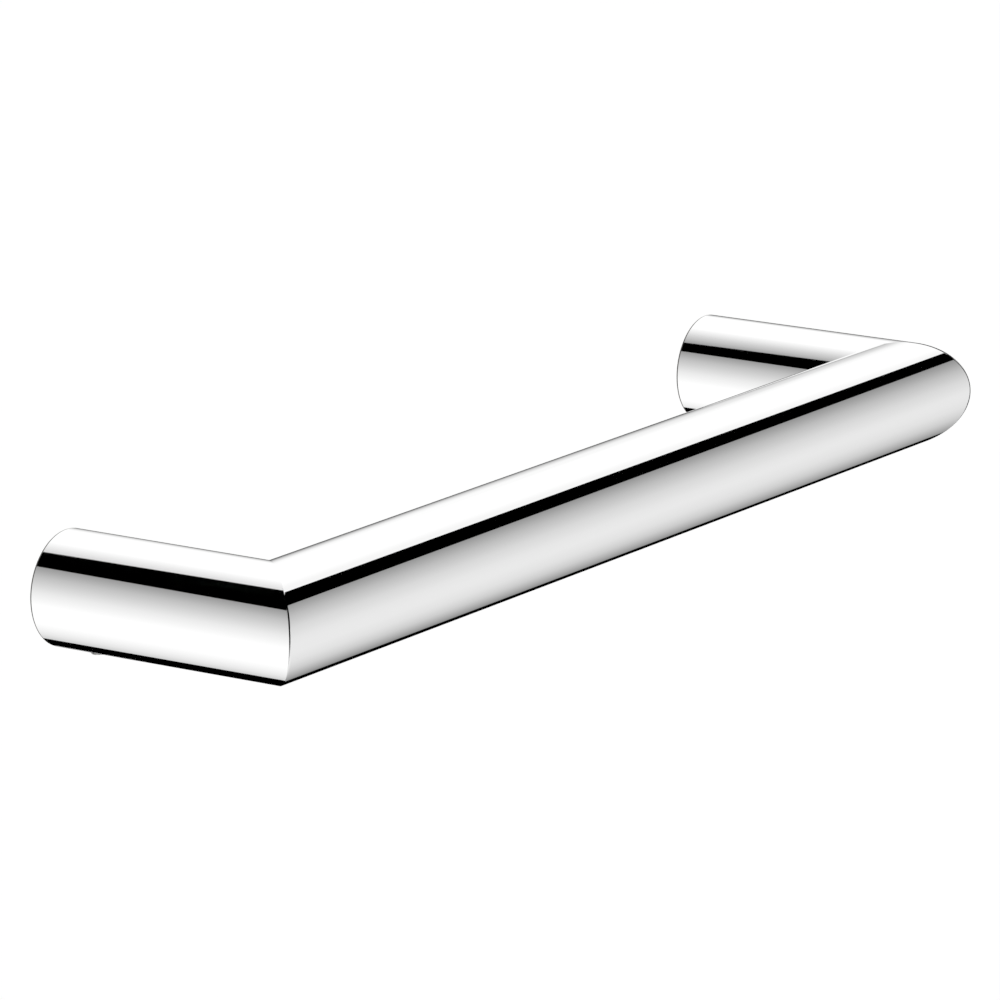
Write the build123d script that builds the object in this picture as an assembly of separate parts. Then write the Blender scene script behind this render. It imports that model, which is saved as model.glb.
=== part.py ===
from build123d import *
import os

# Grab bar for a bathroom wall: one mitred chrome tube, clamped on two posts hidden in its legs.
# The origin is on the wall, midway between the legs and level with the bar's axis.
# +X runs along the bar, +Y into the wall and +Z up, so the whole bar stands on the -Y side.

# Bar and legs
FIXING_CENTRES = 300.0        # from one leg's axis to the other's
BAR_FROM_WALL = 64.0          # from the wall to the bar's axis
TUBE_DIAMETER = 30.0          # outside diameter of the bar and of both legs
TUBE_WALL = 1.5               # thickness of the tube
WALL_EDGE_EASE = 0.4          # rounding of the legs' outer edge against the wall

# Thickened socket inside the wall end of each leg
SOCKET_WALL = 4.0             # thickness there, measured in from the outside of the tube
SOCKET_SPARE = 4.0            # how far the socket runs on past the end of its bracket

# Turned bracket that the leg slides over
BRACKET_SLIP = 0.1            # gap all round between bracket and socket
BRACKET_BEYOND_SCREW = 7.3    # length of bracket past the axis of the set screw
BRACKET_CHAMFER = 1.0         # lead-in on the end that the leg slides over
BRACKET_BACK_CHAMFER = 0.3    # broken edge against the wall
WALL_SCREW_HOLE = 5.5         # clearance hole for a 5 mm wall screw
WALL_SCREW_HEAD = 10.5        # width of the countersink for its head, cut at 90 degrees

# V groove round the bracket, cut at 90 degrees, that draws the leg back on to the wall
GROOVE_DEPTH = 1.4
GROOVE_LEAD = 0.2             # how much nearer the wall the groove is than the set screw
SEAT_GAP = 0.03               # gap left between the groove's flank and the screw's point

# Set screw in the underside of each leg, with a 90 degree cone point and a hexagon socket
SET_SCREW_DIAMETER = 4.0
SET_SCREW_FROM_WALL = 9.7     # from the wall to the screw's axis
SET_SCREW_PROUD = 0.7         # how far its end stands out under the leg
SET_SCREW_CHAMFER = 0.35      # bevel round that end
THREAD_GAP = 0.02             # gap between the screw and its tapped hole
KEY_ACROSS_FLATS = 2.0        # hexagon socket
KEY_DEPTH = 2.4

# Sizes that follow from those above
tube_radius = TUBE_DIAMETER / 2
bore_radius = tube_radius - TUBE_WALL
socket_radius = tube_radius - SOCKET_WALL
bracket_radius = socket_radius - BRACKET_SLIP
bracket_length = SET_SCREW_FROM_WALL + BRACKET_BEYOND_SCREW
socket_depth = bracket_length + SOCKET_SPARE
groove_from_wall = SET_SCREW_FROM_WALL - GROOVE_LEAD
groove_bottom_radius = bracket_radius - GROOVE_DEPTH
screw_radius = SET_SCREW_DIAMETER / 2
screw_point = groove_bottom_radius + GROOVE_LEAD + SEAT_GAP
screw_end = tube_radius + SET_SCREW_PROUD
leg_places = (-FIXING_CENTRES / 2, FIXING_CENTRES / 2)


def mitred_run(radius, start_from_wall):
    """A round rod down one leg, along the bar and up the other leg, with square mitres."""
    left, right = leg_places
    path = Polyline(
        (left, -start_from_wall, 0),
        (left, -BAR_FROM_WALL, 0),
        (right, -BAR_FROM_WALL, 0),
        (right, -start_from_wall, 0),
    )
    first_end = Plane(origin=(left, -start_from_wall, 0), z_dir=(0, -1, 0))
    return sweep(first_end * Circle(radius), path=path, transition=Transition.RIGHT)


def rod_from_wall(radius, length):
    """A round rod that starts on the wall plane and stands straight out of it."""
    wall_plane = Plane(origin=(0, 0, 0), z_dir=(0, -1, 0))
    return wall_plane * Cylinder(radius, length, align=(Align.CENTER, Align.CENTER, Align.MIN))


def turned(profile_points, axis):
    """A lathe-turned solid from the corners of half its section."""
    return revolve(make_face(Polyline(*profile_points, close=True)), axis=axis)


def tapped_hole():
    """The set screw's hole, from the leg's axis down through the underside."""
    hole = Cylinder(
        screw_radius + THREAD_GAP,
        TUBE_DIAMETER,
        align=(Align.CENTER, Align.CENTER, Align.MAX),
    )
    return Pos(0, -SET_SCREW_FROM_WALL, 0) * hole


def bar_body():
    """Bar and legs as one hollow piece, with a socket and a tapped hole in each leg's wall end."""
    outside = mitred_run(tube_radius, 0)
    wall_edges = outside.edges().filter_by(GeomType.CIRCLE)
    body = fillet(wall_edges, WALL_EDGE_EASE) - mitred_run(bore_radius, socket_depth)
    for place in leg_places:
        socket = rod_from_wall(socket_radius, socket_depth + TUBE_WALL)
        body = body - Pos(place, 0, 0) * socket
        body = body - Pos(place, 0, 0) * tapped_hole()
    return body


def wall_bracket():
    """Turned post with a countersunk screw hole and a V groove, its back on the wall."""
    hole_radius = WALL_SCREW_HOLE / 2
    head_radius = WALL_SCREW_HEAD / 2
    profile = (
        (hole_radius, 0, 0),
        (bracket_radius - BRACKET_BACK_CHAMFER, 0, 0),
        (bracket_radius, -BRACKET_BACK_CHAMFER, 0),
        (bracket_radius, -groove_from_wall + GROOVE_DEPTH, 0),
        (groove_bottom_radius, -groove_from_wall, 0),
        (bracket_radius, -groove_from_wall - GROOVE_DEPTH, 0),
        (bracket_radius, -bracket_length + BRACKET_CHAMFER, 0),
        (bracket_radius - BRACKET_CHAMFER, -bracket_length, 0),
        (head_radius, -bracket_length, 0),
        (hole_radius, -bracket_length + head_radius - hole_radius, 0),
    )
    return turned(profile, Axis.Y)


def set_screw():
    """Set screw hanging under the leg's axis, its cone point up and its hexagon socket down."""
    shank_top = screw_point + screw_radius
    profile = (
        (0, 0, -screw_point),
        (screw_radius, 0, -shank_top),
        (screw_radius, 0, -screw_end + SET_SCREW_CHAMFER),
        (screw_radius - SET_SCREW_CHAMFER, 0, -screw_end),
        (0, 0, -screw_end),
    )
    key_hexagon = RegularPolygon(KEY_ACROSS_FLATS / 2, 6, major_radius=False)
    key_socket = Pos(0, 0, -screw_end) * extrude(key_hexagon, amount=KEY_DEPTH)
    screw = turned(profile, Axis.Z) - key_socket
    return Pos(0, -SET_SCREW_FROM_WALL, 0) * screw


def save(shape, node):
    """Writes one piece to its own file and says what was written."""
    export_step(shape, f"parts/{node}.step")
    box = shape.bounding_box()
    print(f"{node}: {shape.volume:.1f} mm3, {box.size.X:.2f} x {box.size.Y:.2f} x {box.size.Z:.2f} mm")


os.makedirs("parts", exist_ok=True)
save(bar_body(), "bar_body")
for side, place in zip(("left", "right"), leg_places):
    save(Pos(place, 0, 0) * wall_bracket(), f"{side}_wall_bracket")
save(Compound([Pos(place, 0, 0) * set_screw() for place in leg_places]), "set_screws")
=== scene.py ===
# %% [markdown]
# # A grab bar in polished chrome
#
# The object is a short grab bar for a bathroom wall: one round tube, cut and joined at two mitred corners,
# so that a straight bar stands clear of the wall on two legs. A post hidden in each leg is screwed to the
# wall, and a small set screw under the leg clamps the leg on its post.
#
# The imported model comes in first and is never moved. Every piece made here is in metres in that same frame:
# X runs along the bar, +Y into the wall and Z up.

# %% Load the imported model
import bpy
import bmesh
import math
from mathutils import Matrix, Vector


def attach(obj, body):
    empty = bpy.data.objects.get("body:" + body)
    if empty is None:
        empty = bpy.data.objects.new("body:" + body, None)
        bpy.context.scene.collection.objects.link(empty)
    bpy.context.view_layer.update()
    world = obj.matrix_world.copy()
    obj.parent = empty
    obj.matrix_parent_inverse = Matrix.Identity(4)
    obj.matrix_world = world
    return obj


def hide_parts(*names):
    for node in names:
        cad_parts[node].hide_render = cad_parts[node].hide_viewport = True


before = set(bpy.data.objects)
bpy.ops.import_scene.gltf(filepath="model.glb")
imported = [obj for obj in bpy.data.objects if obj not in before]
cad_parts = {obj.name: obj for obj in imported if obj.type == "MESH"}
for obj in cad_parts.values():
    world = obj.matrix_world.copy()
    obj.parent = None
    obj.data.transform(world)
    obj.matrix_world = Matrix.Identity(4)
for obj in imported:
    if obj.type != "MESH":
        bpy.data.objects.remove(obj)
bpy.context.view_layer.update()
print("nodes:", sorted(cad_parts))

# %% [markdown]
# ## The camera
#
# The photograph is taken from the left and a little above, with a long lens, so the bar's near and far ends
# hardly differ in size. The place, the turn and the focal length follow from how the tube's edges run in
# the picture. A camera in Blender looks down its own -Z, so a pitch of 90 degrees is level. It was held a
# hair off level, and that roll is a last turn round the same axis.

# %% Place the camera
CAMERA_PLACE = (-1.48609, -1.02258, 0.43389)
CAMERA_TURN = 56.26519
CAMERA_DOWN = 13.77618
CAMERA_ROLL = -0.09223
LENS_MM = 249.865

camera_data = bpy.data.cameras.new("photo_camera")
camera_data.sensor_width = 36.0
camera_data.lens = LENS_MM
camera_data.clip_end = 200.0
camera = bpy.data.objects.new("photo_camera", camera_data)
camera.location = CAMERA_PLACE
camera.rotation_euler = (math.radians(90 - CAMERA_DOWN), 0, math.radians(-CAMERA_TURN))
camera.rotation_euler.rotate_axis("Z", math.radians(CAMERA_ROLL))
bpy.context.scene.collection.objects.link(camera)
bpy.context.scene.camera = camera
print(f"camera {camera.location.length:.3f} m from the origin")

# %% [markdown]
# ## Rings and skins
#
# Every piece here is round, so each one is described by rings of points, and a skin of four-sided faces
# joins each ring to the next. A mirror finish shows the smallest facet, so the rings have many points, and
# the edges that are meant to be sharp are marked by angle. The Weighted Normal modifier then lets the large
# faces decide how the light bounces, which keeps a long tube optically straight right up to a small rounded
# edge.

# %% Skin a list of rings
MM = 0.001
GIRTH = 2 * math.pi * 15 * MM


def new_object(name, mesh):
    """Turns a finished bmesh into an object of the scene."""
    data = bpy.data.meshes.new(name)
    mesh.to_mesh(data)
    mesh.free()
    made = bpy.data.objects.new(name, data)
    bpy.context.scene.collection.objects.link(made)
    return made


def skin(name, rings, tips=None):
    """A closed mesh through the rings: back to the first ring, or to two tip points if they are given."""
    around = len(rings[0])
    mesh = bmesh.new()
    lattice = mesh.loops.layers.uv.new("length_and_girth")
    rows = [[mesh.verts.new(p) for p in ring] for ring in rings]
    lengths = [0.0]
    for ring, following in zip(rings, rings[1:] + rings[:1]):
        lengths.append(lengths[-1] + (Vector(following[0]) - Vector(ring[0])).length)
    joins = len(rings) if tips is None else len(rings) - 1
    for i in range(joins):
        low, high = rows[i], rows[(i + 1) % len(rows)]
        for j in range(around):
            k = (j + 1) % around
            face = mesh.faces.new((low[j], low[k], high[k], high[j]))
            spots = ((i, j), (i, j + 1), (i + 1, j + 1), (i + 1, j))
            for corner, (row, column) in zip(face.loops, spots):
                corner[lattice].uv = (lengths[row], column / around * GIRTH)
    if tips is not None:
        for row, tip in ((rows[0], tips[0]), (rows[-1], tips[1])):
            point = mesh.verts.new(tip)
            for j in range(around):
                mesh.faces.new((row[j], row[(j + 1) % around], point))
    bmesh.ops.recalc_face_normals(mesh, faces=mesh.faces)
    piece = new_object(name, mesh)
    print(f"{name}: {len(rings)} rings, {len(piece.data.polygons)} faces")
    return piece


def smooth_with_sharp_edges(piece, degrees=30):
    """Smooth shading, with an edge wherever two faces meet at more than the given angle."""
    piece.data.shade_smooth()
    piece.data.set_sharp_from_angle(angle=math.radians(degrees))
    weighted = piece.modifiers.new("large_faces_lead", "WEIGHTED_NORMAL")
    weighted.keep_sharp = True


# %% [markdown]
# ## The tube: bar and legs
#
# On the real bar three lengths of one tube are cut at 45 degrees, joined, ground flush and plated together.
# Grinding and buffing leave each mitre not quite sharp: its outer corner is eased by about a millimetre,
# and that sliver of rounding is what draws the fine dark line at the corner. The wheel runs along the bar,
# so the easing is longer on the bar than on the leg, and seen from above it is a quarter of an ellipse. The
# inside corner gets the same curve as a hollow fillet. Each corner is buffed by hand and comes out its own
# way: the right one is eased evenly all round, and on the left one the easing fades out towards the top and
# bottom of the tube. A Bevel modifier has one width all round, so the rings are worked out instead.

# %% Sizes of the tube
LEG_PLACE = 150 * MM
BAR_FROM_WALL = 64 * MM
TUBE_RADIUS = 15 * MM
BORE_RADIUS = 13.5 * MM
SOCKET_RADIUS = 11 * MM
SOCKET_DEPTH = 21 * MM
WALL_EDGE_EASE = 0.4 * MM
LEFT_EASE = {"along_leg": 0.2 * MM, "along_bar": 1.2 * MM, "fading": 3}
RIGHT_EASE = {"along_leg": 0.45 * MM, "along_bar": 1.2 * MM, "fading": 0}
POINTS_ROUND = 256
ARC_STEPS = 10
ANGLES = [2 * math.pi * (j + 0.5) / POINTS_ROUND for j in range(POINTS_ROUND)]
print(f"tube {2 * TUBE_RADIUS / MM:g} mm across")
print(f"mitres eased {LEFT_EASE['along_bar'] / MM:g} mm along the bar")


def leg_ring(radius, y):
    return [(-LEG_PLACE - radius * math.cos(a), y, radius * math.sin(a)) for a in ANGLES]


def mitre_ring(radius, share, along_leg=0.0, along_bar=0.0, fading=0):
    """A ring on the left mitre: share 0 is where the easing leaves the leg, 1 where it reaches the bar."""
    turn = share * math.pi / 2
    ring = []
    for a in ANGLES:
        out, up = radius * math.cos(a), radius * math.sin(a)
        fade = abs(math.cos(a)) ** fading
        x = -LEG_PLACE - out + fade * along_bar * (1 - math.cos(turn))
        y = -BAR_FROM_WALL - out + fade * along_leg * (1 - math.sin(turn))
        ring.append((x, y, up))
    return ring


def mirrored(ring):
    return [(-p[0], p[1], p[2]) for p in ring]


# %% Skin the tube, outside and inside
def outside_rings(ease):
    rings = []
    for k in range(ARC_STEPS + 1):
        turn = math.pi / 2 * (1 - k / ARC_STEPS)
        inset = WALL_EDGE_EASE * (1 - math.cos(turn))
        rings.append(leg_ring(TUBE_RADIUS - inset, -WALL_EDGE_EASE * (1 - math.sin(turn))))
    for k in range(ARC_STEPS + 1):
        rings.append(mitre_ring(TUBE_RADIUS, k / ARC_STEPS, **ease))
    return rings


inside = [
    leg_ring(SOCKET_RADIUS, 0),
    leg_ring(SOCKET_RADIUS, -SOCKET_DEPTH),
    leg_ring(BORE_RADIUS, -SOCKET_DEPTH),
    mitre_ring(BORE_RADIUS, 0),
]
there = outside_rings(LEFT_EASE) + [mirrored(ring) for ring in reversed(outside_rings(RIGHT_EASE))]
and_back = [mirrored(ring) for ring in inside] + list(reversed(inside))
chrome_tube = skin("chrome_tube", there + and_back)

# %% [markdown]
# ## The tapped holes
#
# A hole goes up through the underside of each leg, near the wall, for the set screw. A Boolean modifier
# cuts it with a plain rod. The modifier is applied at once and the rods are thrown away, so only the cut
# tube is left.

# %% Drill the holes
SCREW_FROM_WALL = 9.7 * MM
HOLE_RADIUS = 2.02 * MM
DRILL_LENGTH = 8 * MM
DRILL_HEIGHT = -13 * MM


def drill(piece, x):
    rod_mesh = bmesh.new()
    bmesh.ops.create_cone(
        rod_mesh, cap_ends=True, segments=48, radius1=HOLE_RADIUS, radius2=HOLE_RADIUS, depth=DRILL_LENGTH
    )
    rod = new_object("drill_rod", rod_mesh)
    rod.location = (x, -SCREW_FROM_WALL, DRILL_HEIGHT)
    cut = piece.modifiers.new("hole", "BOOLEAN")
    cut.operation = "DIFFERENCE"
    cut.solver = "EXACT"
    cut.object = rod
    drilled = piece.evaluated_get(bpy.context.evaluated_depsgraph_get())
    piece.data = bpy.data.meshes.new_from_object(drilled)
    piece.modifiers.remove(cut)
    bpy.data.objects.remove(rod)


for x in (-LEG_PLACE, LEG_PLACE):
    drill(chrome_tube, x)
smooth_with_sharp_edges(chrome_tube)
print("tube after drilling:", len(chrome_tube.data.polygons), "faces")

# %% [markdown]
# ## The posts in the legs
#
# Each post is turned from stainless bar: a short cylinder with a countersunk hole along its axis for the
# wall screw and a V groove round it for the point of the set screw. A lathe part is its half section swung
# round its axis, so its rings follow the section's corners. A small Bevel breaks the edges, as a file does
# on the lathe.

# %% Turn the posts
POST_RADIUS = 10.9 * MM
POST_LENGTH = 17 * MM
GROOVE_FROM_WALL = 9.5 * MM
GROOVE_DEPTH = 1.4 * MM
WALL_SCREW_HOLE = 2.75 * MM
WALL_SCREW_HEAD = 5.25 * MM
BACK_CHAMFER = 0.3 * MM
END_CHAMFER = 1 * MM
BROKEN_EDGE = 0.08 * MM
POST_POINTS = 128
post_section = [
    (WALL_SCREW_HOLE, 0),
    (POST_RADIUS - BACK_CHAMFER, 0),
    (POST_RADIUS, BACK_CHAMFER),
    (POST_RADIUS, GROOVE_FROM_WALL - GROOVE_DEPTH),
    (POST_RADIUS - GROOVE_DEPTH, GROOVE_FROM_WALL),
    (POST_RADIUS, GROOVE_FROM_WALL + GROOVE_DEPTH),
    (POST_RADIUS, POST_LENGTH - END_CHAMFER),
    (POST_RADIUS - END_CHAMFER, POST_LENGTH),
    (WALL_SCREW_HEAD, POST_LENGTH),
    (WALL_SCREW_HOLE, POST_LENGTH - (WALL_SCREW_HEAD - WALL_SCREW_HOLE)),
]


def post_ring(x, radius, from_wall):
    turns = [2 * math.pi * j / POST_POINTS for j in range(POST_POINTS)]
    return [(x + radius * math.cos(a), -from_wall, radius * math.sin(a)) for a in turns]


posts = []
for side, x in (("left", -LEG_PLACE), ("right", LEG_PLACE)):
    post = skin(f"{side}_turned_post", [post_ring(x, *corner) for corner in post_section])
    broken_edge = post.modifiers.new("broken_edge", "BEVEL")
    broken_edge.width = BROKEN_EDGE
    broken_edge.segments = 2
    broken_edge.limit_method = "ANGLE"
    smooth_with_sharp_edges(post)
    posts.append(post)

# %% [markdown]
# ## The set screws
#
# A socket set screw has no head: a thread from end to end, a cone point at the top that bears in the post's
# groove, and a hexagon socket in the bottom end. Only the last 0.7 mm stands out below the leg. A screw
# thread is a ring whose radius rises and falls once for each pitch, and the rise moves on round the ring as
# the ring moves along the screw, so the helix costs one formula. The hexagon is a ring too: its radius is
# the flat's distance divided by the cosine of the angle from the middle of the flat.

# %% Cut the threads and sockets
SCREW_RADIUS = 2.0 * MM
THREAD_PITCH = 0.7 * MM
THREAD_DEPTH = 0.4 * MM
FLANK_SLOPE = 2.6
CREST_FLAT = 0.15
RINGS_PER_PITCH = 10
SCREW_END = -15.7 * MM
SCREW_TIP = -9.73 * MM
END_RADIUS = 1.65 * MM
KEY_FLAT = 1.0 * MM
KEY_DEPTH = 2.4 * MM
KEY_CONE = 0.4 * MM
SCREW_POINTS = 72
SCREW_ANGLES = [2 * math.pi * j / SCREW_POINTS for j in range(SCREW_POINTS)]


def thread_radius(a, z):
    """The thread's radius, trimmed by the bevelled end below and the cone point above."""
    climb = (z / THREAD_PITCH - a / (2 * math.pi)) % 1.0
    share = max(0.0, min(1.0, FLANK_SLOPE * abs(climb - 0.5) - CREST_FLAT))
    return min(SCREW_RADIUS - THREAD_DEPTH * share, END_RADIUS + (z - SCREW_END), SCREW_TIP - z)


def key_radius(a):
    """A hexagon, as a radius that grows from the middle of each flat to its corners."""
    return KEY_FLAT / math.cos((a + math.pi / 6) % (math.pi / 3) - math.pi / 6)


def screw_ring(x, z, radius_at):
    return [
        (x + radius_at(a) * math.cos(a), -SCREW_FROM_WALL + radius_at(a) * math.sin(a), z)
        for a in SCREW_ANGLES
    ]


set_screws = []
for side, x in (("left", -LEG_PLACE), ("right", LEG_PLACE)):
    count = round((SCREW_TIP - SCREW_END) / THREAD_PITCH * RINGS_PER_PITCH)
    heights = [SCREW_END + (SCREW_TIP - SCREW_END) * k / count for k in range(count)]
    rings = [screw_ring(x, SCREW_END + KEY_DEPTH, key_radius), screw_ring(x, SCREW_END, key_radius)]
    rings += [screw_ring(x, z, lambda a, z=z: thread_radius(a, z)) for z in heights]
    socket_floor = (x, -SCREW_FROM_WALL, SCREW_END + KEY_DEPTH + KEY_CONE)
    point = (x, -SCREW_FROM_WALL, SCREW_TIP)
    screw = skin(f"{side}_set_screw", rings, tips=(socket_floor, point))
    smooth_with_sharp_edges(screw, 40)
    set_screws.append(screw)

# %% [markdown]
# ## Materials
#
# One function turns the hex colours of a paint chart into the linear values that Blender's shaders add and
# multiply, and one adds a node with its settings and links. A tuple or number given for an input is a
# value, and a socket is a link.

# %% Helpers for colours and nodes
def linear(hex_colour):
    channels = [int(hex_colour[i:i + 2], 16) / 255 for i in (1, 3, 5)]
    return tuple(c / 12.92 if c <= 0.04045 else ((c + 0.055) / 1.055) ** 2.4 for c in channels) + (1.0,)


def add_node(tree, kind, inputs=None, **settings):
    node = tree.nodes.new(kind)
    for setting, value in settings.items():
        setattr(node, setting, value)
    for name, value in (inputs or {}).items():
        if isinstance(value, bpy.types.NodeSocket):
            tree.links.new(value, node.inputs[name])
        else:
            node.inputs[name].default_value = value
    return node


def new_material(name):
    material = bpy.data.materials.new(name)
    material.use_nodes = True
    return material, material.node_tree, material.node_tree.nodes["Principled BSDF"]


print("middle grey #808080 in linear light:", round(linear("#808080")[0], 3))

# %% [markdown]
# ### Polished chrome plate
#
# Decorative chrome is a skin of chromium a third of a micrometre thick over buffed nickel, and it gives the
# eye a clean, neutral mirror. The buffing wheel leaves hairlines along the tube, a few hundredths of a
# millimetre apart. That is too fine for the picture, so they are drawn 0.8 mm apart and 25 mm long. Only
# the roughness carries them, between two values that both still give a crisp reflection. They follow the
# tube round its corners because they are laid out on the skin's own length and girth, not on X, Y and Z.

# %% Hairlines in the chrome
CHROME = "#F0F0F0"
HAIRLINE_SPACING = 0.8 * MM
HAIRLINE_LENGTH = 25 * MM
chrome, tree, chrome_shader = new_material("polished_chrome_plate")
skin_place = add_node(tree, "ShaderNodeUVMap", uv_map="length_and_girth")
stretch = add_node(
    tree,
    "ShaderNodeMapping",
    {"Vector": skin_place.outputs["UV"], "Scale": (1 / HAIRLINE_LENGTH, 1 / HAIRLINE_SPACING, 1)},
)
hairlines = add_node(
    tree,
    "ShaderNodeTexNoise",
    {"Vector": stretch.outputs["Vector"], "Scale": 1.0, "Detail": 3.0, "Roughness": 0.6},
)
gloss = add_node(
    tree,
    "ShaderNodeMapRange",
    {"Value": hairlines.outputs[0], "From Min": 0.3, "From Max": 0.7, "To Min": 0.02, "To Max": 0.045},
)
chrome_shader.inputs["Metallic"].default_value = 1.0
print("chrome: linear base", [round(c, 3) for c in linear(CHROME)[:3]])

# %% [markdown]
# ### The faced ends
#
# After plating, the legs' wall ends are faced square on a belt, so each leg ends in a narrow rim of dull
# metal.
# The thin dark line round the wall end is painted shade: the rim's colour turns dark grey over the rounded
# edge, and the flat end face is a lighter grey. A second material would need its own faces, so the same
# material changes by the distance from the wall, which is the object's own Y. The belt's scratches are a
# tenth of a millimetre apart, and are drawn 0.4 mm apart so that they show.

# %% Dull rim at the wall, with painted shade
RIM_WIDTH = 0.55 * MM
BELT_SCRATCH = 0.4 * MM
BELT_LENGTH = 8 * MM
place = add_node(tree, "ShaderNodeTexCoord")
axes = add_node(tree, "ShaderNodeSeparateXYZ", {"Vector": place.outputs["Object"]})
rim = add_node(
    tree,
    "ShaderNodeMapRange",
    {"Value": axes.outputs["Y"], "From Min": -RIM_WIDTH, "From Max": 0.0},
)
# Painted shade: the colour turns dark grey #6B6A67 over the rounded wall edge, drawing the thin line there,
# and the flat end face is a lighter grey.
plate_to_painted_edge_shade = add_node(tree, "ShaderNodeValToRGB", {"Fac": rim.outputs["Result"]})
tones = plate_to_painted_edge_shade.color_ramp.elements
tones[0].color, tones[1].color = linear(CHROME), linear("#C6C5C2")
for position, tone in ((0.1, "#6B6A67"), (0.95, "#6B6A67")):
    tones.new(position).color = linear(tone)
belt = add_node(
    tree,
    "ShaderNodeMapping",
    {"Vector": place.outputs["Object"], "Scale": (1 / BELT_LENGTH, 1 / BELT_LENGTH, 1 / BELT_SCRATCH)},
)
scratches = add_node(
    tree, "ShaderNodeTexNoise", {"Vector": belt.outputs["Vector"], "Scale": 1.0, "Detail": 3.0}
)
scratched = add_node(
    tree,
    "ShaderNodeMapRange",
    {"Value": scratches.outputs[0], "From Min": 0.3, "From Max": 0.7, "To Min": 0.28, "To Max": 0.5},
)
dulled = add_node(
    tree,
    "ShaderNodeMapRange",
    {
        "Value": rim.outputs["Result"],
        "From Max": 0.1,
        "To Min": gloss.outputs["Result"],
        "To Max": scratched.outputs["Result"],
    },
)
tree.links.new(plate_to_painted_edge_shade.outputs["Color"], chrome_shader.inputs["Base Color"])
tree.links.new(dulled.outputs["Result"], chrome_shader.inputs["Roughness"])
print(f"bare rim {RIM_WIDTH / MM:g} mm wide at the wall")

# %% [markdown]
# ### Turned stainless steel
#
# The posts come straight off the lathe. The tool leaves a fine screw-like track about 0.15 mm apart round
# the post, and rings on its faces, so the metal is bright but streaky, and the light on it stretches across
# the rings. The rings are drawn 0.9 mm apart so that they show. They are a pattern of the distance from the
# post's axis plus the distance from the wall, so one pattern serves the sides and the ends, and taking X
# without its sign makes one material serve both posts. The anisotropy, with a tangent that runs round Y,
# stretches the highlights.

# %% Turned stainless steel
FEED_MARKS = 0.9 * MM
turned_steel, tree, shader = new_material("turned_stainless_steel")
place = add_node(tree, "ShaderNodeTexCoord")
axes = add_node(tree, "ShaderNodeSeparateXYZ", {"Vector": place.outputs["Object"]})
unsigned = add_node(tree, "ShaderNodeMath", {0: axes.outputs["X"]}, operation="ABSOLUTE")
across = add_node(tree, "ShaderNodeMath", {0: unsigned.outputs["Value"], 1: LEG_PLACE}, operation="SUBTRACT")
spoke = add_node(tree, "ShaderNodeCombineXYZ", {"X": across.outputs["Value"], "Z": axes.outputs["Z"]})
from_axis = add_node(tree, "ShaderNodeVectorMath", {0: spoke.outputs["Vector"]}, operation="LENGTH")
track = add_node(
    tree, "ShaderNodeMath", {0: from_axis.outputs["Value"], 1: axes.outputs["Y"]}, operation="ADD"
)
along = add_node(tree, "ShaderNodeCombineXYZ", {"X": track.outputs["Value"]})
marks = add_node(
    tree, "ShaderNodeTexNoise", {"Vector": along.outputs["Vector"], "Scale": 1 / FEED_MARKS, "Detail": 3.0}
)
streaks = add_node(tree, "ShaderNodeValToRGB", {"Fac": marks.outputs[0]})
tones = streaks.color_ramp.elements
tones[0].position, tones[0].color = 0.35, linear("#B4B2AE")
tones[1].position, tones[1].color = 0.65, linear("#DAD8D4")
gloss = add_node(
    tree,
    "ShaderNodeMapRange",
    {"Value": marks.outputs[0], "From Min": 0.3, "From Max": 0.7, "To Min": 0.26, "To Max": 0.42},
)
ridges = add_node(
    tree, "ShaderNodeBump", {"Height": marks.outputs[0], "Strength": 0.4, "Distance": 0.05 * MM}
)
round_axis = add_node(tree, "ShaderNodeTangent", direction_type="RADIAL", axis="Y")
shader.inputs["Metallic"].default_value = 1.0
shader.inputs["Anisotropic"].default_value = 0.6
tree.links.new(streaks.outputs["Color"], shader.inputs["Base Color"])
tree.links.new(gloss.outputs["Result"], shader.inputs["Roughness"])
tree.links.new(ridges.outputs["Normal"], shader.inputs["Normal"])
tree.links.new(round_axis.outputs["Tangent"], shader.inputs["Tangent"])
print(f"turned steel: feed marks drawn {FEED_MARKS / MM:g} mm apart")

# %% [markdown]
# ### Bright stainless screw
#
# Stainless set screws are cold formed, thread rolled and tumbled bright. The rolled thread is smooth, so
# the metal looks a little softer than the chrome, with a faint mottle half a millimetre across.

# %% Bright stainless screw
MOTTLE = 0.5 * MM
screw_steel, tree, shader = new_material("rolled_stainless_screw")
place = add_node(tree, "ShaderNodeTexCoord")
mottle = add_node(
    tree, "ShaderNodeTexNoise", {"Vector": place.outputs["Object"], "Scale": 1 / MOTTLE, "Detail": 3.0}
)
gloss = add_node(
    tree,
    "ShaderNodeMapRange",
    {"Value": mottle.outputs[0], "From Min": 0.3, "From Max": 0.7, "To Min": 0.12, "To Max": 0.22},
)
shader.inputs["Base Color"].default_value = linear("#D6D6D4")
shader.inputs["Metallic"].default_value = 1.0
tree.links.new(gloss.outputs["Result"], shader.inputs["Roughness"])
print("screw steel: mottle", MOTTLE / MM, "mm")

# %% [markdown]
# ## Dress the pieces
#
# Each piece takes its material, rides on the model's one body and stands in for the solid it replaces,
# which is hidden.

# %% Dress the pieces
def dress(piece, material, node):
    piece.data.materials.clear()
    piece.data.materials.append(material)
    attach(piece, "root")
    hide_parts(node)


dress(chrome_tube, chrome, "bar_body")
for side, post in zip(("left", "right"), posts):
    dress(post, turned_steel, f"{side}_wall_bracket")
for screw in set_screws:
    dress(screw, screw_steel, "set_screws")

# %% [markdown]
# ## The studio
#
# A mirror has no colour of its own: what it shows is the room. A photographer lights chrome with big white
# cards and leaves gaps between them, and each gap draws one black line along the tube. Here the cards are
# pieces of a very large dome, named by the direction they stand in: azimuth 0 is straight into the wall and
# 90 along the bar to the right. Each card glows by a small ramp, greyer towards its upper edge, as a card
# does that is lit from below. The dome is so wide that both legs see the same picture.

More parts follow.
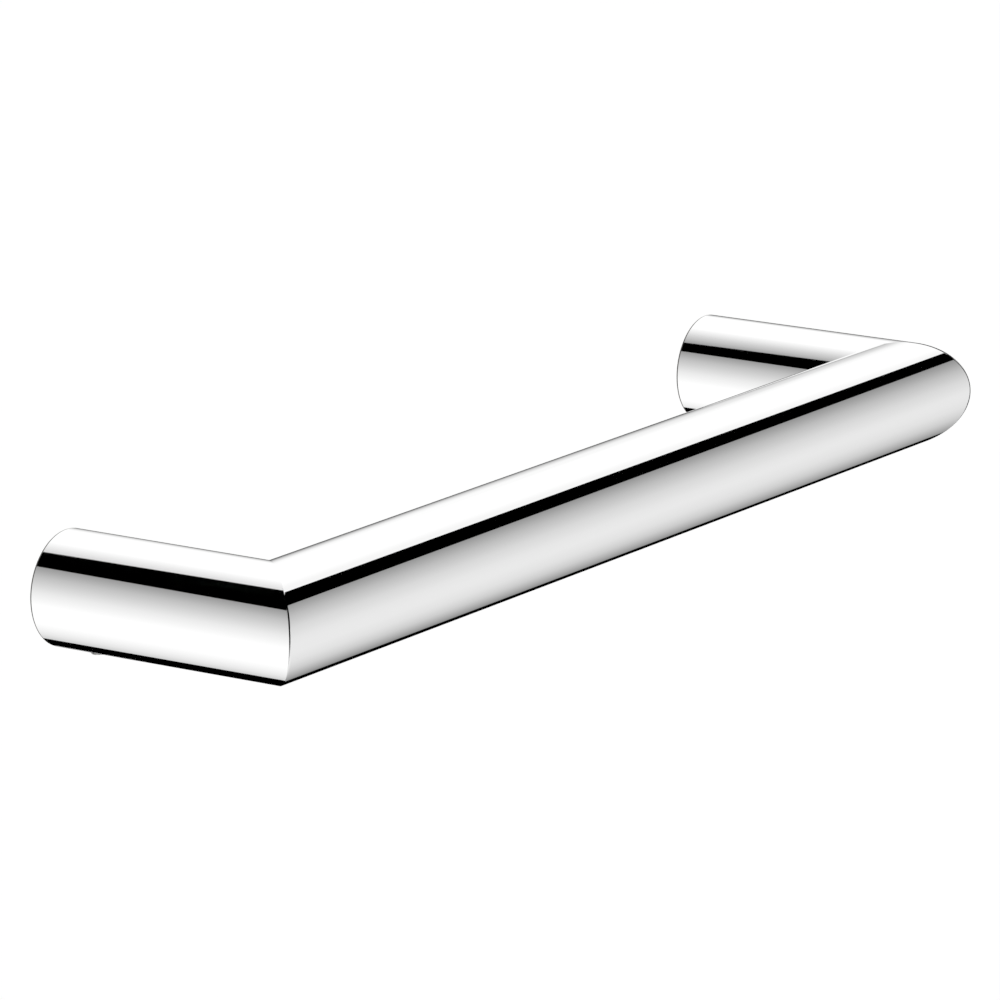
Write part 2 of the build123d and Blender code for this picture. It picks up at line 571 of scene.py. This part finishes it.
# %% Cards on a dome
DOME_RADIUS = 60.0
CARD_LIGHT = 1.16
card_glow, tree, shader = new_material("lit_card")
tree.nodes.remove(shader)
level = add_node(tree, "ShaderNodeAttribute", attribute_name="level")
lit = add_node(tree, "ShaderNodeEmission", {"Strength": level.outputs["Fac"]})
tree.links.new(lit.outputs["Emission"], tree.nodes["Material Output"].inputs["Surface"])
card_glow.cycles.emission_sampling = "NONE"


def ramp(x, *stops):
    """Straight lines between (place, level) stops, level beyond the ends."""
    if x <= stops[0][0]:
        return stops[0][1]
    for (a, low), (b, high) in zip(stops, stops[1:]):
        if x <= b:
            return low + (high - low) * (x - a) / (b - a)
    return stops[-1][1]


def card(name, azimuths, bottoms, tops, level_at, steps=48):
    """A card between two azimuths, with straight lower and upper edges from the first to the second."""
    mesh = bmesh.new()
    rows, levels = [], []
    for i in range(steps + 1):
        share = i / steps
        azimuth = azimuths[0] + share * (azimuths[1] - azimuths[0])
        bottom = bottoms[0] + share * (bottoms[1] - bottoms[0])
        top = tops[0] + share * (tops[1] - tops[0])
        row = []
        for j in range(steps + 1):
            height = bottom + j / steps * (top - bottom)
            flat = DOME_RADIUS * math.cos(math.radians(height))
            turn = math.radians(azimuth)
            up = DOME_RADIUS * math.sin(math.radians(height))
            row.append(mesh.verts.new((flat * math.sin(turn), flat * math.cos(turn), up)))
            levels.append(CARD_LIGHT * level_at(azimuth, height, top))
        rows.append(row)
    for low, high in zip(rows, rows[1:]):
        for j in range(steps):
            mesh.faces.new((low[j], low[j + 1], high[j + 1], high[j]))
    sheet = new_object(name, mesh)
    sheet.data.attributes.new("level", "FLOAT", "POINT").data.foreach_set("value", levels)
    sheet.data.materials.append(card_glow)
    sheet.visible_camera = False
    print(f"{name}: azimuth {azimuths[0]:g} to {azimuths[1]:g}")


# %% [markdown]
# ### Cards on the left
#
# The near leg's outer side mirrors the left of the room. Its white card grows brighter downwards and fades
# towards the wall, and it stops short in three places, so the leg gets a black band above, a black line
# below and crisp ends.

# %% Left cards
FLOOR_EDGE = -62.0
ON_FLOOR = (FLOOR_EDGE, FLOOR_EDGE)


def left_level(azimuth, height, top):
    fade = ramp(azimuth, (-34, 1.0), (-10.6, 0.874), (6.8, 0.775), (28, 0.575))
    return fade * ramp(top - height, (0, 0.312), (12.5, 0.523), (36, 0.825), (58, 1.02))


def left_floor_level(azimuth, height, top):
    return left_level(azimuth, -60, 0)


card("left_card_side", (-75, -61), (-22, -22), (29.2, 32.4), left_level)
card("left_card", (-61, -46), ON_FLOOR, (32.4, 35.8), left_level)
card("left_card_upper", (-46, -17), (0, 0), (35.8, 42.25), left_level)
card("left_floor_card", (-46, 6), ON_FLOOR, (-28, -28), left_floor_level)
card("left_floor_end", (6, 25.3), (-57, -52.9), (-28, -28), left_floor_level)
card("left_floor_corner", (6, 25.3), ON_FLOOR, (-59.7, -57.0), left_floor_level)

# %% [markdown]
# ### Cards on the right
#
# The bar's front mirrors the right of the room, which is greyer. Its card stops at the floor towards the
# wall, and the gap there draws the thin black line under the bar. The card's edge at that gap is cut on a
# slant, because the far end of the bar mirrors a higher part of it. The upper edges of the pieces on the
# floor stay just above the curve that the bar mirrors, so that only the rounding of the right mitre reaches
# the dark beyond them.

# %% Right cards
def right_level(azimuth, height, top):
    fade = ramp(azimuth, (70, 0.31), (85.7, 0.568), (95.5, 0.737), (109.9, 0.922), (120, 1.0))
    return fade * ramp(top - height, (0, 0.305), (12.2, 0.507), (25.5, 0.682), (38.6, 0.786), (45, 0.806))


def right_floor_level(azimuth, height, top):
    return right_level(azimuth, -60, 0)


def right_back_level(azimuth, height, top):
    """The edge towards the wall is cut on a slant, so that the line under the bar keeps its width."""
    cut = ramp(height, (-33, 69.1), (-27, 71.5))
    return right_floor_level(azimuth, height, top) * ramp(azimuth - cut, (-0.1, 0.0), (0.1, 1.0))


def right_end_level(azimuth, height, top):
    """The end of the card is cut down, and keeps the brightness it had uncut."""
    uncut_top = 25.15 + 0.195 * (azimuth - 110)
    return right_level(azimuth, height, uncut_top)


card("right_card", (110, 121), ON_FLOOR, (25.15, 27.3), right_level)
card("right_card_end", (121, 138), ON_FLOOR, (27.3, 4), right_end_level)
card("right_floor_front", (102, 110), ON_FLOOR, (-27.8, -24), right_floor_level)
card("right_floor_card", (78, 102), ON_FLOOR, (-27.8, -27.8), right_floor_level)
card("right_floor_back", (68.5, 78), ON_FLOOR, (-23.3, -27.8), right_back_level, steps=96)

# %% [markdown]
# ### Cards behind the camera
#
# These stand where the camera and the photographer are, and light the bar's front in views from other
# sides. Between them and the right card is one tapering gap, closed above and below. From the
# photographer's place nothing but the rounding of the near mitre turns far enough to mirror it, and it
# shows there as the fine dark line down the corner.

# %% Front cards
def front_level(azimuth, height, top):
    return right_level(130, height, 52) * ramp(height, (-65, 0.7), (-25, 1.0))


card("left_far_card", (-100, -75), ON_FLOOR, (52, 29.2), front_level)
card("front_card", (-130, -100), ON_FLOOR, (52, 52), front_level)
card("front_middle", (-170, -130), ON_FLOOR, (62, 52), front_level)
card("front_flank", (167, 190), ON_FLOOR, (54, 62), front_level)
card("front_brow", (141, 167), (40, 16), (42, 54), front_level)
card("front_floor", (140.5, 167), ON_FLOOR, (-46, -13), front_level)
card("right_flank", (138, 140.5), ON_FLOOR, (4, -24), front_level)

# %% [markdown]
# ### Ceiling and back
#
# The white along the top of the tube is a bright ceiling that comes down behind the bar. Low at the back it
# falls away into the dark: at a grazing angle the tube mirrors that horizon, so its upper outline shows as
# a thin grey line against the white page. To the right of that the card is cut away under the curve that
# the bar mirrors. Only the rounding of the right mitre sees the cut, and draws it as a fine line round the
# far end. The last cards light the ends that stand against the wall.

# %% Ceiling, back and wall side
CEILING_EDGE = 66.0
AT_CEILING = (CEILING_EDGE, CEILING_EDGE)


def ceiling_level(azimuth, height, top):
    rise = ramp(azimuth, (-37, 0.35), (-26, 0.53), (-15, 0.648), (-2, 0.79), (14, 0.935), (22, 1.02))
    return rise * ramp(azimuth, (86, 1.0), (97, 0.887))


def back_level(azimuth, height, top):
    gap = ramp(azimuth, (45, -10), (51, 1.5), (54.2, 0), (55.2, 1.0), (57, 1.5), (59, 5))
    hollow = ramp(azimuth, (60.3, -14), (61.3, 9), (62.5, 13.5), (66, 19.5), (70, 23), (76, 26.5), (86, 29))
    shelf = ramp(azimuth, (84, -20), (88, 14), (95.3, 20))
    fall = ramp(height - gap, (-6, 0.08), (4, 0.6), (12, 0.88), (20, 1.0))
    cut = max(ramp(height - hollow, (-2, 0.05), (2, 1.0)), ramp(shelf - height, (-2, 0.05), (2, 1.0)))
    return ceiling_level(azimuth, height, top) * fall * cut


def wall_level(azimuth, height, top):
    return 0.9


card("ceiling_corner", (-38, -33.6), (47.8, 50.2), (48.0, 54.2), ceiling_level)
card("ceiling_left", (-33.6, -8), (50.2, 58.0), AT_CEILING, ceiling_level)
card("ceiling_right", (95.3, 112), (26.4, 48.6), (60, 48.7), ceiling_level)
card("back_left", (-17, -8), (0, 0), (50.7, 55.9), back_level)
card("back_middle", (-8, 27), (0, 0), AT_CEILING, back_level)
card("back_sweep", (27, 95.3), (-14, -14), AT_CEILING, back_level, steps=120)
card("wall_card", (-10, 27), (-26, -26), (-4, -4), wall_level)
card("wall_card_end", (27, 50), (-26, -26), (-14, -14), wall_level)

# %% [markdown]
# ### The middle of the floor
#
# One round card closes the floor straight below the object. It runs evenly from the dimmer front to the
# brighter back, so no edge shows in the underside of the tube.

# %% Floor card
def floor_level(azimuth, height, top):
    out = math.cos(math.radians(height)) / math.cos(math.radians(FLOOR_EDGE))
    return 0.7 + 0.14 * out * math.cos(math.radians(azimuth))


card("floor_card", (-180, 180), (-89.9, -89.9), ON_FLOOR, floor_level)

# %% [markdown]
# ### Black cloth
#
# Behind the cards hangs a black tent. The metal sees it through the gaps, which is where every black line
# on the tube comes from. The camera looks through it to the white page.

# %% Black cloth behind the cards
TENT_RADIUS = DOME_RADIUS + 1.0
tent_mesh = bmesh.new()
bmesh.ops.create_uvsphere(tent_mesh, u_segments=96, v_segments=48, radius=TENT_RADIUS)
black_tent = new_object("black_tent", tent_mesh)
black_tent.visible_camera = False

velvet, tree, shader = new_material("black_velvet")
tree.nodes.remove(shader)
nap = add_node(tree, "ShaderNodeBsdfDiffuse", {"Color": linear("#000000")})
tree.links.new(nap.outputs["BSDF"], tree.nodes["Material Output"].inputs["Surface"])
black_tent.data.materials.append(velvet)
print(f"black tent {TENT_RADIUS:g} m in radius")

# %% [markdown]
# ## Floor and background
#
# The picture is white all over, so the floor lies well below the bar and is pale. The tent keeps much of
# the light off it, so nine tenths of what the camera sees there is plain white, bright enough to make paper
# white together with the last tenth, and that tenth's own shading keeps the object's soft shadow. The
# chrome doesn't see the floor, because the cards already lie below the horizon where a photographer would
# put them.

# %% Floor and world
FLOOR_RADIUS = 14.0
FLOOR_HEIGHT = -1.0
PLAIN_WHITE_SHARE = 0.9
PLAIN_WHITE_STRENGTH = 1.065
floor_mesh = bmesh.new()
bmesh.ops.create_circle(floor_mesh, cap_ends=True, segments=96, radius=FLOOR_RADIUS)
pale_floor = new_object("pale_floor", floor_mesh)
pale_floor.location = (0, 0, FLOOR_HEIGHT)
pale_floor.visible_glossy = False

paper, tree, shader = new_material("pale_paper")
tree.nodes.remove(shader)
path = add_node(tree, "ShaderNodeLightPath")
white_share = add_node(
    tree,
    "ShaderNodeMath",
    {0: path.outputs["Is Camera Ray"], 1: PLAIN_WHITE_SHARE},
    operation="MULTIPLY",
)
matt = add_node(tree, "ShaderNodeBsdfDiffuse", {"Color": linear("#FBFBFB")})
plain_white = add_node(tree, "ShaderNodeEmission", {"Strength": PLAIN_WHITE_STRENGTH})
blend = add_node(
    tree,
    "ShaderNodeMixShader",
    {"Fac": white_share.outputs["Value"], 1: matt.outputs["BSDF"], 2: plain_white.outputs["Emission"]},
)
tree.links.new(blend.outputs["Shader"], tree.nodes["Material Output"].inputs["Surface"])
pale_floor.data.materials.append(paper)

world = bpy.data.worlds.new("white_room")
bpy.context.scene.world = world
world.use_nodes = True
background = world.node_tree.nodes["Background"]
background.inputs["Color"].default_value = (1, 1, 1, 1)
background.inputs["Strength"].default_value = 1.0
bpy.context.scene.view_settings.view_transform = "Standard"
print("floor at", FLOOR_HEIGHT, "m")
